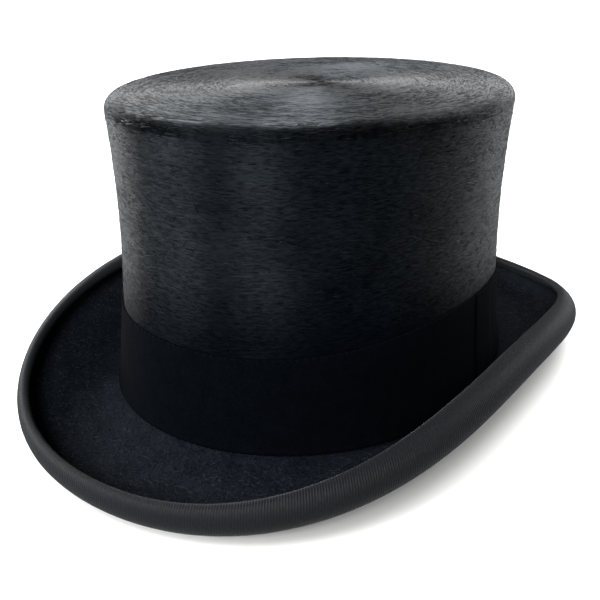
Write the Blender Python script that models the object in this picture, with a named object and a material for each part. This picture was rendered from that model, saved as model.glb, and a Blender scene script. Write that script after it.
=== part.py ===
"""Formal top hat: fur felt over a stiff shell, curled brim bound with grosgrain, lined crown.

Metres, +Z up. The wearer faces -Y, so +X is the wearer's left. The origin lies on the plane the hat
rests on, below the centre of the head oval. Ring-shaped pieces are lofted through sections that stand
at even angles around the head: angle 0 is the front, and a quarter turn is the wearer's left.
"""

import math

import bpy

STATIONS = 40                       # sections around the head
STEP = 2.0 * math.pi / STATIONS

# Crown: half widths (side to side) and half lengths (front to back) of its outer surface.
BASE_OVAL = (0.0879, 0.1083)
TOP_OVAL = (0.0860, 0.1066)
WAIST_TAPER = (0.0182, 0.0197)      # how steeply the wall leans in at the base, per crown height
TOP_HEIGHT = 0.1410                 # resting plane to the flat of the tip
BREAK_HEIGHT = 0.00778              # resting plane to the crown and brim's meeting line, at the front
BREAK_DROP = 0.0042                 # how much lower that line runs at the sides
TIP_EDGE_RADIUS = 0.0062
CROWN_ROWS = 4
EDGE_ROWS = 3

# Insets of the wall's layers from the crown's outer surface, outer face then inner face.
FELT_WALL = (0.0, 0.0015)
SHELL_WALL = (0.0018, 0.0032)
LINING_WALL = (0.00345, 0.00375)
SWEATBAND_WALL = (0.0041, 0.0052)
GAP = 0.0003

# Brim: (front and back value, side value) of each dimension of its section.
FLANGE_LENGTH = (0.0345, 0.0377)
FLANGE_SLOPE = (math.radians(-13.8), math.radians(34.0))
FLANGE_SWEEP = (math.radians(8.6), math.radians(22.6))
ROLL_RADIUS = (0.0080, 0.0051)
ROLL_END = (math.radians(111.7), math.radians(221.6))
SIDE_SHARPNESS = 2.93               # how closely the side's section keeps to the sides
BRIM_INNER_EDGE = 0.0008            # how far the brim reaches in under the crown
FLANGE_ROWS = 3
ROLL_ROWS = 5

# Layers of the brim, as offsets from its middle surface, lower face then upper face.
BRIM_FELT = (0.0005, 0.0013)
BRIM_SHELL = (-0.0005, 0.0002)
UNDERBRIM = (-0.0013, -0.0008)
BINDING = (0.00165, 0.0021)         # inner and outer face, on both sides of the brim
BINDING_UPPER_ROWS = 1              # rows of the roll that the binding covers on the upper side
BINDING_PAST_ROLL = 0.0015
BINDING_END_ROWS = 2

# Hat band, sewn round the base of the crown with its end lapped over its start.
BAND_HEIGHT = 0.0419
BAND_SIDE_RISE = 0.0090
BAND_RISE_SHARPNESS = 3.9
BAND_THICKNESS = 0.0009
BAND_START = 11 * STEP              # left side, a little to the rear
BAND_LAP_STEPS = 1                  # how far its end runs on past its start
BAND_ROWS = 2
BAND_STITCH_DROP = 0.0012           # stitch line, below the band's upper edge and above its lower one

THREAD_WIDTH = 0.0006
THREAD_THICKNESS = 0.0003

# Sweatband: leather, with a reed held in a folded tape along its lower edge.
SWEATBAND_HEIGHT = 0.0520
SWEATBAND_LEAN = 0.0008
SWEATBAND_ROWS = 2
REED_RADIUS = 0.0006
REED_SIDES = 5
REED_INSET = 0.00465
REED_RISE = 0.0003                  # reed's centre above the meeting line
TAPE_INSETS = (0.0035, 0.0038, 0.0055, 0.0058)
TAPE_FLOOR = (-0.00085, -0.00055)   # faces of the fold, from the meeting line
TAPE_TOPS = (0.0055, 0.0045)        # wall side, head side

JOIN_HALF_ANGLE = math.radians(2.4)
JOIN_HEIGHTS = (0.0095, 0.0480)
JOIN_ROWS = 4
JOIN_GAP = 0.0007
BOW_HALF_WIDTH = 0.0090
BOW_HEIGHT = 0.0170                 # bow's centre above the meeting line
BOW_COLUMNS = 12
BOW_KNOT = (0.0016, 0.0022, 0.0011)  # half width, half height, half thickness
BOW_LOOP = (0.0010, 0.0036, 0.0006)  # half height at the knot and at the end, half thickness

LINING_FOOT = 0.0080                # lining's lower edge, above the meeting line
PIPING_RADIUS = 0.0008
PIPING_SIDES = 5

FUR_BLACK = (0.010, 0.011, 0.013)
BAND_BLACK = (0.006, 0.007, 0.009)
RIBBON_BLACK = (0.018, 0.020, 0.023)
SHELL_BROWN = (0.210, 0.120, 0.055)
LEATHER_TAN = (0.330, 0.170, 0.085)
SATIN_IVORY = (0.720, 0.670, 0.570)
REED_CLEAR = (0.550, 0.530, 0.480)


def clear_scene():
    for item in list(bpy.data.objects):
        bpy.data.objects.remove(item, do_unlink=True)


def material(name, colour, roughness):
    made = bpy.data.materials.new(name)
    made.use_nodes = True
    shader = made.node_tree.nodes["Principled BSDF"]
    shader.inputs["Base Color"].default_value = (*colour, 1.0)
    shader.inputs["Roughness"].default_value = roughness
    shader.inputs["Metallic"].default_value = 0.0
    made.diffuse_color = (*colour, 1.0)
    return made


def mix(pair, share):
    return pair[0] + (pair[1] - pair[0]) * share


def stations():
    return [STEP * step for step in range(STATIONS)]


def break_height(angle):
    """Height of the line where the crown meets the brim's middle surface."""
    return BREAK_HEIGHT - BREAK_DROP * math.sin(angle) ** 2


def crown_axis(axis, share):
    """Half width or half length of the crown's outer surface at a share of its height."""
    base, top, taper = BASE_OVAL[axis], TOP_OVAL[axis], WAIST_TAPER[axis]
    return base - taper * share + (top - base + taper) * share ** 2


def wall_point(angle, height, inset):
    """Point at a height in the crown wall, set in from its outer surface."""
    foot = break_height(angle)
    share = max(0.0, (height - foot) / (TOP_HEIGHT - foot))
    half_width, half_length = crown_axis(0, share), crown_axis(1, share)
    across, along = math.sin(angle), -math.cos(angle)
    normal = (across / half_width, along / half_length)
    reach = inset / math.hypot(*normal)
    return (half_width * across - reach * normal[0], half_length * along - reach * normal[1], height)


def brim_frame(angle, run):
    """Distance out, height above the meeting line and tangent angle, a run along the brim's section."""
    side = abs(math.sin(angle)) ** SIDE_SHARPNESS
    length, slope, sweep = mix(FLANGE_LENGTH, side), mix(FLANGE_SLOPE, side), mix(FLANGE_SWEEP, side)
    flange_radius = length / sweep
    tangent = slope + min(run, length) / flange_radius
    out = flange_radius * (math.sin(tangent) - math.sin(slope))
    up = flange_radius * (math.cos(slope) - math.cos(tangent))
    if run > length:
        radius = mix(ROLL_RADIUS, side)
        turned = tangent + (run - length) / radius
        out += radius * (math.sin(turned) - math.sin(tangent))
        up += radius * (math.cos(tangent) - math.cos(turned))
        tangent = turned
    return out, up, tangent


def brim_lengths(angle):
    """Lengths of the flange and of the roll along the brim's section."""
    side = abs(math.sin(angle)) ** SIDE_SHARPNESS
    turn = mix(ROLL_END, side) - mix(FLANGE_SLOPE, side) - mix(FLANGE_SWEEP, side)
    return mix(FLANGE_LENGTH, side), mix(ROLL_RADIUS, side) * turn


def brim_point(angle, run, offset, past=0.0):
    """Point of the brim: a run from the meeting line, an offset to the upper side, a step past the run."""
    out, up, tangent = brim_frame(angle, run)
    out += past * math.cos(tangent) - offset * math.sin(tangent)
    up += past * math.sin(tangent) + offset * math.cos(tangent)
    foot = break_height(angle)
    x, y, _ = wall_point(angle, foot, -out)
    return x, y, foot + up


def brim_top(angle, inset):
    """Height of the brim's upper face where it runs under the crown wall."""
    slope = mix(FLANGE_SLOPE, abs(math.sin(angle)) ** SIDE_SHARPNESS)
    return break_height(angle) - inset * math.tan(slope) + (BRIM_FELT[1] + GAP) / math.cos(slope)


def add_object(name, points, faces, finish):
    mesh = bpy.data.meshes.new(name)
    mesh.from_pydata(points, [], faces)
    mesh.materials.append(finish)
    mesh.shade_smooth()
    mesh.set_sharp_from_angle(angle=math.radians(50.0))
    made = bpy.data.objects.new(name, mesh)
    bpy.context.scene.collection.objects.link(made)
    return made


def signed_volume(points, faces):
    total = 0.0
    for face in faces:
        ax, ay, az = points[face[0]]
        for second, third in zip(face[1:], face[2:]):
            bx, by, bz = points[second]
            cx, cy, cz = points[third]
            total += ax * (by * cz - bz * cy) + ay * (bz * cx - bx * cz) + az * (bx * cy - by * cx)
    return total


def facing_out(points, faces):
    if signed_volume(points, faces) < 0.0:
        return [tuple(reversed(face)) for face in faces]
    return faces


def loft(name, sections, finish, closed=True, turn_at=None):
    """Solid through a row of sections of equal size; an open row gets a flat face at each end.

    A section goes up one face and back down the other. From corner turn_at on, its quads are split
    along the other diagonal, so that the facing sides of two layers are split alike.
    """
    size = len(sections[0])
    turn_at = size // 2 if turn_at is None else turn_at
    points = [point for section in sections for point in section]
    count = len(sections)
    faces = []
    for row in range(count if closed else count - 1):
        here, there = row * size, (row + 1) % count * size
        for corner in range(size):
            after = (corner + 1) % size
            if corner < turn_at:
                faces.append((here + corner, here + after, there + after))
                faces.append((here + corner, there + after, there + corner))
            else:
                faces.append((here + corner, here + after, there + corner))
                faces.append((here + after, there + after, there + corner))
    if not closed:
        faces.append(tuple(reversed(range(size))))
        faces.append(tuple(range((count - 1) * size, count * size)))
    return add_object(name, points, facing_out(points, faces), finish)


def ring(name, profile, finish, turn_at=None):
    """Closed ring whose section at each angle is the list of points that profile gives."""
    return loft(name, [profile(angle) for angle in stations()], finish, turn_at=turn_at)


def wall_profile(angle, feet, top, insets, rows):
    """Section of a layer of the crown wall: up its outer face and down its inner face."""
    outer_foot, inner_foot = feet
    outer = [wall_point(angle, mix((outer_foot, top), row / rows), insets[0]) for row in range(rows + 1)]
    inner = [wall_point(angle, mix((inner_foot, top), row / rows), insets[1]) for row in range(rows + 1)]
    return outer + inner[::-1]


def crown_side(name, insets, finish, foot):
    """Side layer of the crown, from its foot to where the tip's edge begins to turn."""
    top = TOP_HEIGHT - TIP_EDGE_RADIUS

    def profile(angle):
        feet = [foot(angle, inset) for inset in insets]
        return wall_profile(angle, feet, top, insets, CROWN_ROWS)

    return ring(name, profile, finish)


def crown_tip(name, insets, finish):
    """Cap over the crown: a rounded edge and a flat oval, with the same inset all round."""
    centre = TOP_HEIGHT - TIP_EDGE_RADIUS

    def edge(inset):
        radius = TIP_EDGE_RADIUS - inset
        levels = [(inset, centre + GAP)]
        for row in range(1, EDGE_ROWS + 1):
            turn = 0.5 * math.pi * row / EDGE_ROWS
            levels.append((TIP_EDGE_RADIUS - radius * math.cos(turn), centre + radius * math.sin(turn)))
        return levels

    levels = edge(insets[1])[::-1] + edge(insets[0])
    rings = [[wall_point(angle, height, inset) for angle in stations()] for inset, height in levels]
    return loft(name, rings, finish, closed=False)


def brim_layer(name, faces, finish):
    lower, upper = faces

    def profile(angle):
        flange, roll = brim_lengths(angle)
        runs = [-BRIM_INNER_EDGE] + [flange * row / FLANGE_ROWS for row in range(1, FLANGE_ROWS + 1)]
        runs += [flange + roll * row / ROLL_ROWS for row in range(1, ROLL_ROWS + 1)]
        above = [brim_point(angle, run, upper) for run in runs]
        below = [brim_point(angle, run, lower) for run in runs]
        return above + below[::-1]

    return ring(name, profile, finish)


def binding(finish):
    """Ribbon folded round the brim's edge, with its two margins on the upper and lower sides."""

    def face(angle, offset):
        flange, roll = brim_lengths(angle)
        upper_rows = range(ROLL_ROWS - BINDING_UPPER_ROWS, ROLL_ROWS)
        line = [brim_point(angle, flange + roll * row / ROLL_ROWS, offset) for row in upper_rows]
        for row in range(BINDING_END_ROWS + 1):
            turn = math.pi * row / BINDING_END_ROWS
            line.append(brim_point(angle, flange + roll, offset * math.cos(turn), offset * math.sin(turn)))
        lower_rows = reversed(range(ROLL_ROWS))
        line += [brim_point(angle, flange + roll * row / ROLL_ROWS, -offset) for row in lower_rows]
        line.append(brim_point(angle, flange - BINDING_PAST_ROLL, -offset))
        return line

    def profile(angle):
        return face(angle, BINDING[0]) + face(angle, BINDING[1])[::-1]

    return ring("brim_binding", profile, finish, turn_at=BINDING_UPPER_ROWS)


def binding_stitch(finish):
    """Thread line on the binding's upper margin, close to its edge."""

    def profile(angle):
        flange, roll = brim_lengths(angle)
        run = flange + roll * (ROLL_ROWS - BINDING_UPPER_ROWS + 0.25) / ROLL_ROWS
        low = BINDING[1] + 2.0 * GAP
        high = low + THREAD_THICKNESS
        corners = ((0.0, low), (THREAD_WIDTH, low), (THREAD_WIDTH, high), (0.0, high))
        return [brim_point(angle, run + along, offset) for along, offset in corners]

    return ring("binding_stitch", profile, finish)


def band_top(angle):
    return break_height(angle) + BAND_HEIGHT + BAND_SIDE_RISE * abs(math.sin(angle)) ** BAND_RISE_SHARPNESS


def hat_band(finish):
    """Strip that runs forward from its start, round the crown, and rides up to lap its own start."""
    sections = []
    for index in range(STATIONS + BAND_LAP_STEPS + 1):
        angle = BAND_START - index * STEP
        inner = GAP
        if index >= STATIONS - 1:
            inner += BAND_THICKNESS + GAP
        insets = (-inner - BAND_THICKNESS, -inner)
        feet = [brim_top(angle, inset) for inset in insets]
        sections.append(wall_profile(angle, feet, band_top(angle), insets, BAND_ROWS))
    return loft("hat_band", sections, finish, closed=False)


def thread_ring(name, inset_at, height_at, finish):
    """Thread line that lies flat round the crown wall."""

    def profile(angle):
        inset, height = inset_at(angle), height_at(angle)
        outer = [wall_point(angle, height + rise, inset - THREAD_THICKNESS) for rise in (0.0, THREAD_WIDTH)]
        inner = [wall_point(angle, height + rise, inset) for rise in (0.0, THREAD_WIDTH)]
        return outer + inner[::-1]

    return ring(name, profile, finish)


def band_face_inset(angle):
    """Inset of a line just clear of the band's outer face, also where the band laps itself."""
    past_lap = (BAND_START + 1.01 * STEP - angle) % (2.0 * math.pi)
    layers = 2.0 if past_lap <= (BAND_LAP_STEPS + 1.02) * STEP else 1.0
    return -layers * (GAP + BAND_THICKNESS) - GAP


def sweatband_inset(angle, height, face):
    rise = (height - break_height(angle)) / SWEATBAND_HEIGHT
    return SWEATBAND_WALL[face] + SWEATBAND_LEAN * rise


def sweatband(finish):
    foot_rise = REED_RISE + REED_RADIUS + GAP

    def profile(angle):
        low, top = break_height(angle) + foot_rise, break_height(angle) + SWEATBAND_HEIGHT
        heights = [mix((low, top), row / SWEATBAND_ROWS) for row in range(SWEATBAND_ROWS + 1)]
        outer = [wall_point(angle, height, sweatband_inset(angle, height, 0)) for height in heights]
        inner = [wall_point(angle, height, sweatband_inset(angle, height, 1)) for height in heights]
        return outer + inner[::-1]

    return ring("sweatband", profile, finish)


def cord_ring(name, inset, height_at, radius, sides, finish):
    """Round cord that runs inside the crown wall."""

    def profile(angle):
        turns = [2.0 * math.pi * side / sides for side in range(sides)]
        height = height_at(angle)
        return [
            wall_point(angle, height + radius * math.sin(turn), inset + radius * math.cos(turn))
            for turn in turns
        ]

    return ring(name, profile, finish)


def reed_tape(finish):
    """Tape folded under the reed, open upwards, with the leather's edge between its two sides."""
    wall_outer, wall_inner, head_outer, head_inner = TAPE_INSETS
    floor_low, floor_high = TAPE_FLOOR

    def profile(angle):
        corners = (
            (wall_outer, TAPE_TOPS[0]),
            (wall_outer, floor_low),
            (head_inner, floor_low),
            (head_inner, TAPE_TOPS[1]),
            (head_outer, TAPE_TOPS[1]),
            (head_outer, floor_high),
            (wall_inner, floor_high),
            (wall_inner, TAPE_TOPS[0]),
        )
        foot = break_height(angle)
        return [wall_point(angle, foot + rise, inset) for inset, rise in corners]

    return ring("reed_tape", profile, finish)


def sweatband_join_tape(finish):
    """Narrow upright strip over the leather's butt join at the back."""
    sections = []
    for share in (-1.0, 0.0, 1.0):
        angle = math.pi + share * JOIN_HALF_ANGLE
        foot = break_height(angle)
        heights = [foot + mix(JOIN_HEIGHTS, row / JOIN_ROWS) for row in range(JOIN_ROWS + 1)]
        outer = [(height, sweatband_inset(angle, height, 1) + JOIN_GAP) for height in heights]
        inner = [(height, inset + THREAD_THICKNESS) for height, inset in outer]
        sections.append([wall_point(angle, height, inset) for height, inset in outer + inner[::-1]])
    return loft("sweatband_join_tape", sections, finish, closed=False)


def sweatband_bow(finish):
    """Small flat bow over the join: a knot between two flaring loops."""
    sections = []
    for column in range(BOW_COLUMNS + 1):
        across = BOW_HALF_WIDTH * (2.0 * column / BOW_COLUMNS - 1.0)
        angle = math.pi - math.asin(across / BASE_OVAL[0])
        height = break_height(angle) + BOW_HEIGHT
        if abs(across) <= BOW_KNOT[0]:
            half_height, half_depth = BOW_KNOT[1], BOW_KNOT[2]
        else:
            half_height = mix(BOW_LOOP[:2], abs(across) / BOW_HALF_WIDTH)
            half_depth = BOW_LOOP[2]
        near = sweatband_inset(angle, height, 1) + JOIN_GAP + THREAD_THICKNESS + GAP
        far = near + 2.0 * half_depth
        low, high = height - half_height, height + half_height
        corners = ((low, near), (high, near), (high, far), (low, far))
        sections.append([wall_point(angle, level, inset) for level, inset in corners])
    return loft("sweatband_bow", sections, finish, closed=False)


def build_crown():
    fur = material("fur_felt", FUR_BLACK, 0.60)
    tip_fur = material("tip_fur_felt", FUR_BLACK, 0.55)
    shell = material("shellacked_cloth", SHELL_BROWN, 0.45)
    tip_shell = material("shellacked_board", SHELL_BROWN, 0.45)
    crown_side("crown_side_felt", FELT_WALL, fur, brim_top)
    crown_side("crown_side_shell", SHELL_WALL, shell, lambda angle, inset: break_height(angle) - 0.0012)
    crown_tip("crown_tip_felt", FELT_WALL, tip_fur)
    crown_tip("crown_tip_shell", SHELL_WALL, tip_shell)


def build_brim():
    brim_layer("brim_felt", BRIM_FELT, material("brim_fur_felt", FUR_BLACK, 0.80))
    brim_layer("brim_shell", BRIM_SHELL, material("brim_shellacked_cloth", SHELL_BROWN, 0.45))
    brim_layer("underbrim_felt", UNDERBRIM, material("underbrim_cloth", FUR_BLACK, 0.75))
    ribbon = material("binding_grosgrain", RIBBON_BLACK, 0.55)
    binding(ribbon)
    binding_stitch(material("binding_thread", RIBBON_BLACK, 0.50))


def build_band():
    hat_band(material("band_cloth", BAND_BLACK, 0.90))

    def upper_line(angle):
        return band_top(angle) - BAND_STITCH_DROP

    def lower_line(angle):
        return brim_top(angle, band_face_inset(angle) - THREAD_THICKNESS) + BAND_STITCH_DROP

    thread_ring("band_top_stitch", band_face_inset, upper_line, material("band_thread", RIBBON_BLACK, 0.50))
    lower_thread = material("band_lower_thread", RIBBON_BLACK, 0.50)
    thread_ring("band_bottom_stitch", band_face_inset, lower_line, lower_thread)


def build_sweatband():
    sweatband(material("sweatband_leather", LEATHER_TAN, 0.45))
    reed = material("reed_plastic", REED_CLEAR, 0.30)
    cord_ring(
        "sweatband_reed",
        REED_INSET,
        lambda angle: break_height(angle) + REED_RISE,
        REED_RADIUS,
        REED_SIDES,
        reed,
    )
    reed_tape(material("reed_tape_cloth", RIBBON_BLACK, 0.70))
    stitch = material("sweatband_thread", LEATHER_TAN, 0.50)
    thread_ring(
        "sweatband_stitch",
        lambda angle: TAPE_INSETS[3] + GAP + THREAD_THICKNESS,
        lambda angle: break_height(angle) + TAPE_TOPS[1] * 0.5,
        stitch,
    )
    sweatband_join_tape(material("join_tape_cloth", LEATHER_TAN, 0.60))
    sweatband_bow(material("bow_ribbon", RIBBON_BLACK, 0.50))


def build_lining():
    satin = material("lining_satin", SATIN_IVORY, 0.35)
    crown_side("lining_side", LINING_WALL, satin, lambda angle, inset: break_height(angle) + LINING_FOOT)
    crown_tip("lining_tip", LINING_WALL, material("lining_tip_satin", SATIN_IVORY, 0.35))
    inset = LINING_WALL[1] + GAP + PIPING_RADIUS
    cord_ring(
        "lining_piping",
        inset,
        lambda angle: TOP_HEIGHT - TIP_EDGE_RADIUS,
        PIPING_RADIUS,
        PIPING_SIDES,
        material("piping_satin", SATIN_IVORY, 0.35),
    )


clear_scene()
build_crown()
build_brim()
build_band()
build_sweatband()
build_lining()
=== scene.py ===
"""Looks of a formal top hat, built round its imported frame.

Metres, +Z up. The wearer faces -Y and +X is the wearer's left. Angles run round the head: 0 is the
front and a quarter turn is the wearer's left. Every cover, ribbon, leather and lining is modelled here
as its own piece over the frame's plain solid; the stiff shells keep the frame's solids.
"""

import math

import bpy
import numpy as np
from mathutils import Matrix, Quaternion, Vector


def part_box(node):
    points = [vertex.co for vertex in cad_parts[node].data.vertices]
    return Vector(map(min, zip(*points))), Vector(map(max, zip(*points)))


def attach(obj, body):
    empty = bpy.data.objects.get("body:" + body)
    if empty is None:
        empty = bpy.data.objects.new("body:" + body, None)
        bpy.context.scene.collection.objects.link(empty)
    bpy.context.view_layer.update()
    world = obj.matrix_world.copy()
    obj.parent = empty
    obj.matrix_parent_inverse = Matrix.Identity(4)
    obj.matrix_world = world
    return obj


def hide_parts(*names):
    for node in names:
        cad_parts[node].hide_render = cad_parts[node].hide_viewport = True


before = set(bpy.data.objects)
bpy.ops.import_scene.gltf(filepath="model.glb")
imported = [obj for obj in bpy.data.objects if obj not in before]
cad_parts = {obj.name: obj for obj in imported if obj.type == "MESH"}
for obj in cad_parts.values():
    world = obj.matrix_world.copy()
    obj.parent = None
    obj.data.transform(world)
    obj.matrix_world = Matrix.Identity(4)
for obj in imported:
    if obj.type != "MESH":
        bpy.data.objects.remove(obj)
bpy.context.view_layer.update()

MM = 0.001
TAU = 2.0 * math.pi
DEG = TAU / 360.0
BODY = "root"

# The frame's own shape: ovals as (half width, half length), brim values as (front and back, side).
TOP_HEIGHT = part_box("crown_tip_felt")[1].z
BASE_OVAL = (87.9 * MM, 108.3 * MM)
TOP_OVAL = (86.0 * MM, 106.6 * MM)
WAIST_TAPER = (18.2 * MM, 19.7 * MM)
BREAK_HEIGHT = 7.78 * MM
BREAK_DROP = 4.2 * MM
TIP_EDGE_RADIUS = 6.2 * MM
EDGE_START = TOP_HEIGHT - TIP_EDGE_RADIUS  # height where the crown's side turns into the rounded edge
FLAT_OVAL = (TOP_OVAL[0] - TIP_EDGE_RADIUS, TOP_OVAL[1] - TIP_EDGE_RADIUS)
FLANGE_LENGTH = (34.5 * MM, 37.7 * MM)
FLANGE_SLOPE = (-13.8 * DEG, 34.0 * DEG)
FLANGE_SWEEP = (8.6 * DEG, 22.6 * DEG)
ROLL_RADIUS = (8.0 * MM, 5.1 * MM)
ROLL_END = (111.7 * DEG, 221.6 * DEG)
SIDE_SHARPNESS = 2.93  # how closely the side's section keeps to the sides
BRIM_INNER_EDGE = 0.8 * MM  # how far the brim reaches in under the crown
FELT_WALL = (0.0, 1.5 * MM)  # insets of the crown's layers, outer face then inner face
LINING_WALL = (3.45 * MM, 3.75 * MM)
SWEATBAND_WALL = (4.1 * MM, 5.2 * MM)
SWEATBAND_LEAN = 0.8 * MM
SWEATBAND_HEIGHT = 52.0 * MM
BRIM_FELT = (0.5 * MM, 1.3 * MM)  # offsets of the brim's layers, lower face then upper face
UNDERBRIM = (-1.3 * MM, -0.8 * MM)
BINDING = (1.65 * MM, 2.1 * MM)
BINDING_UPPER_SHARE = 0.8  # share of the roll that the binding leaves bare on the upper side
BINDING_PAST_ROLL = 1.5 * MM
BAND_HEIGHT = 41.9 * MM
BAND_SIDE_RISE = 9.0 * MM
BAND_RISE_SHARPNESS = 3.9
GAP = 0.3 * MM


# ---- shape of the hat

def mix(pair, share):
    return pair[0] + (pair[1] - pair[0]) * share


def unit(vectors):
    return vectors / np.linalg.norm(vectors, axis=-1, keepdims=True)


def fade(distance, reach):
    """Rises from 0 to 1 over a reach."""
    return np.clip(distance / reach, 0.0, 1.0)


def rounded(share):
    """Quarter-round rise from 0 to 1."""
    return np.sqrt(1.0 - (1.0 - share) ** 2)


def swell(distance, width):
    """Bell shape, 1 at its middle."""
    return np.exp(-(distance / width) ** 2)


def angles(count):
    return np.arange(count) * TAU / count


def around(count):
    """Even angles round the head, as a column."""
    return angles(count)[:, None]


def steps(count, start=0.0, stop=1.0, endpoint=True):
    """Even steps along a section, as a row."""
    return np.linspace(start, stop, count, endpoint=endpoint)[None, :]


def side_share(angle, sharpness=SIDE_SHARPNESS):
    """0 at the front and back, 1 at the sides."""
    return np.abs(np.sin(angle)) ** sharpness


def break_height(angle):
    """Height of the line where crown and brim meet."""
    return BREAK_HEIGHT - BREAK_DROP * np.sin(angle) ** 2


def crown_axis(axis, share):
    base, top, taper = BASE_OVAL[axis], TOP_OVAL[axis], WAIST_TAPER[axis]
    return base - taper * share + (top - base + taper) * share ** 2


def wall(angle, height, inset):
    """Points in the crown wall, set in from its outer surface."""
    angle, height, inset = np.broadcast_arrays(angle, height, inset)
    foot = break_height(angle)
    share = np.clip((height - foot) / (TOP_HEIGHT - foot), 0.0, 1.0)
    half_width, half_length = crown_axis(0, share), crown_axis(1, share)
    across, along = np.sin(angle), -np.cos(angle)
    nx, ny = across / half_width, along / half_length
    reach = inset / np.hypot(nx, ny)
    return points_at(half_width * across - reach * nx, half_length * along - reach * ny, height)


def brim_lengths(angle):
    """Lengths of the brim's section: its flange, and the roll beyond."""
    side = side_share(angle)
    turn = mix(ROLL_END, side) - mix(FLANGE_SLOPE, side) - mix(FLANGE_SWEEP, side)
    return mix(FLANGE_LENGTH, side), mix(ROLL_RADIUS, side) * turn


def brim(angle, run, offset, past=0.0):
    """Points of the brim: a run out from the crown, an offset upwards, a step past the run."""
    angle, run, offset, past = np.broadcast_arrays(angle, run, offset, past)
    side = side_share(angle)
    length, slope, sweep = mix(FLANGE_LENGTH, side), mix(FLANGE_SLOPE, side), mix(FLANGE_SWEEP, side)
    radius, roll_radius = length / sweep, mix(ROLL_RADIUS, side)
    tangent = slope + np.minimum(run, length) / radius
    turned = tangent + np.maximum(run - length, 0.0) / roll_radius
    out = radius * (np.sin(tangent) - np.sin(slope)) + roll_radius * (np.sin(turned) - np.sin(tangent))
    up = radius * (np.cos(slope) - np.cos(tangent)) + roll_radius * (np.cos(tangent) - np.cos(turned))
    out = out + past * np.cos(turned) - offset * np.sin(turned)
    up = up + past * np.sin(turned) + offset * np.cos(turned)
    foot = break_height(angle)
    point = wall(angle, foot, -out)
    point[..., 2] = foot + up
    return point


def brim_run(angle, rows):
    """Runs over the whole brim, from under the crown to the edge."""
    return mix((-BRIM_INNER_EDGE, sum(brim_lengths(angle))), steps(rows))


def brim_top(angle, inset):
    """Height just clear of the brim's felt, at an inset in the crown wall."""
    slope = mix(FLANGE_SLOPE, side_share(angle))
    return break_height(angle) - inset * np.tan(slope) + (BRIM_FELT[1] + GAP) / np.cos(slope)


def band_top(angle):
    return break_height(angle) + BAND_HEIGHT + BAND_SIDE_RISE * side_share(angle, BAND_RISE_SHARPNESS)


EDGE_SHARE = 0.1  # span of the share beyond 1 that runs over the tip's rounded edge


def tip(angle, share, lift):
    """Points over the flat tip: a share of its flat oval, out over its rounded edge beyond 1."""
    angle, share, lift = np.broadcast_arrays(angle, share, lift)
    turn = fade(share - 1.0, EDGE_SHARE) * 0.5 * math.pi
    inset = TIP_EDGE_RADIUS - (TIP_EDGE_RADIUS + lift) * np.sin(turn)
    level = EDGE_START + (TIP_EDGE_RADIUS + lift) * np.cos(turn)
    point = wall(angle, level, inset)
    point[..., :2] *= np.minimum(share, 1.0)[..., None]
    return point


# ---- mesh building

def new_object(name, points, faces, finish):
    """Smooth mesh object from an array of points and one of equal-sized faces."""
    mesh = bpy.data.meshes.new(name)
    count, size = faces.shape
    mesh.vertices.add(len(points))
    mesh.vertices.foreach_set("co", np.asarray(points, np.float32).ravel())
    mesh.loops.add(count * size)
    mesh.loops.foreach_set("vertex_index", np.asarray(faces, np.int32).ravel())
    mesh.polygons.add(count)
    mesh.polygons.foreach_set("loop_start", np.arange(0, count * size, size, dtype=np.int32))
    mesh.update(calc_edges=True)
    mesh.validate()
    mesh.shade_smooth()
    mesh.materials.append(finish)
    made = bpy.data.objects.new(name, mesh)
    bpy.context.scene.collection.objects.link(made)
    return made


def outward(points, faces):
    """The faces of a closed solid, turned round if they face inwards."""
    corners = (points - points.mean(0))[faces]
    volume = 0.0
    for k in range(1, faces.shape[1] - 1):
        volume += np.einsum("ij,ij->", corners[:, 0], np.cross(corners[:, k], corners[:, k + 1]))
    return faces[:, ::-1] if volume < 0.0 else faces


def add_piece(name, points, faces, finish, slot, node=None, **vectors):
    """Closed solid that rides on the frame, in place of the plain solid it stands for.

    vectors: the grain and fibre of its points, for its finish; points left over get nought.
    """
    piece = new_object(name, points, outward(points, faces), finish)
    for layer_name, values in vectors.items():
        stored = np.zeros((len(points), 3), np.float32)
        flat = np.reshape(values, (-1, 3))
        stored[:len(flat)] = flat
        layer = piece.data.attributes.new(layer_name, "FLOAT_VECTOR", "POINT")
        layer.data.foreach_set("vector", stored.ravel())
    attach(piece, BODY)
    if node:
        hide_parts(node)


def ring_faces(rows, size, wrap_rows=True, wrap_size=True):
    """Quads of a grid of rows by size points."""
    row = np.arange(rows if wrap_rows else rows - 1)[:, None]
    col = np.arange(size if wrap_size else size - 1)[None, :]
    after_row, after_col = (row + 1) % rows, (col + 1) % size
    corners = (row * size + col, row * size + after_col, after_row * size + after_col, after_row * size + col)
    return np.stack([np.broadcast_to(c, (row.size, col.size)) for c in corners], -1).reshape(-1, 4)


def close_ends(quads, first_ring, last_ring, middle):
    """Triangles of a grid and of a fan over each open end, with centres from middle on."""
    first_fan = np.stack([np.roll(first_ring, -1), first_ring, np.full_like(first_ring, middle)], -1)
    last_fan = np.stack([last_ring, np.roll(last_ring, -1), np.full_like(last_ring, middle + 1)], -1)
    return np.concatenate([quads[:, [0, 1, 2]], quads[:, [0, 2, 3]], first_fan, last_fan])


def loft(name, sections, finish, slot, node, closed=True, **vectors):
    """Piece through an array of sections."""
    rows, size = sections.shape[:2]
    points = sections.reshape(-1, 3)
    faces = ring_faces(rows, size, wrap_rows=closed)
    if not closed:
        points = np.concatenate([points, [sections[0].mean(0), sections[-1].mean(0)]])
        ring = np.arange(size)
        faces = close_ends(faces, ring, ring + (rows - 1) * size, rows * size)
    add_piece(name, points, faces, finish, slot, node, **vectors)


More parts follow.
